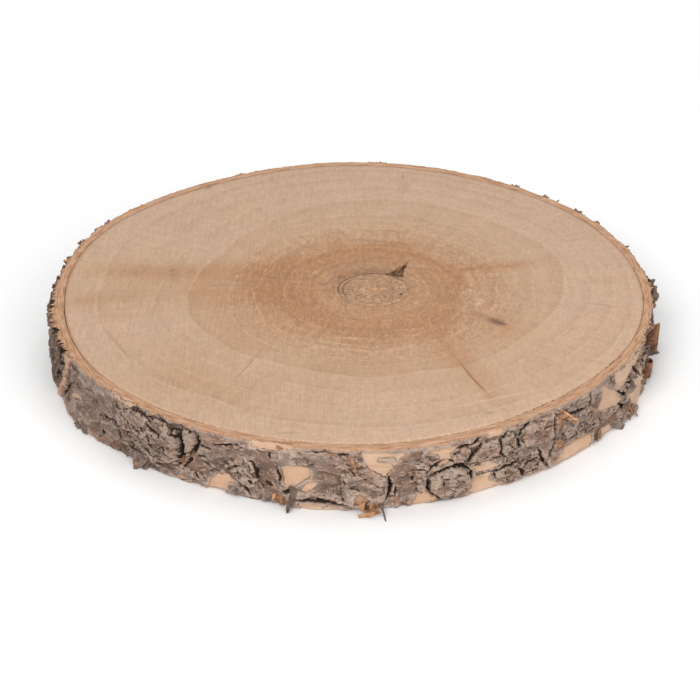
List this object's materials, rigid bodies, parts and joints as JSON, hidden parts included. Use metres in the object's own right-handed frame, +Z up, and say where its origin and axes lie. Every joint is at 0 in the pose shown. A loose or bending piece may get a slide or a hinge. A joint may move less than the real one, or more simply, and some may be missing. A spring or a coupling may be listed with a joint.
{
  "type": "wood slice",
  "caption": "Round cross-cut slice of a birch trunk with its rough scaly bark left on, two flat sawn faces, used as a rustic serving board, stand or centrepiece base.",
  "frame": {"origin": "centre of the bounding box's base, on the lower sawn face", "axes": "+Z up along the trunk's grain, out of the upper sawn face; +Y points away from the side the picture is taken from, +X to its right"},
  "size_m": [0.3032, 0.307, 0.03],
  "materials": {
    "sawn_wood": "matte",
    "bark": "matte"
  },
  "bodies": {
    "root": {"wood_slice": "sawn_wood"}
  },
  "joints": []
}
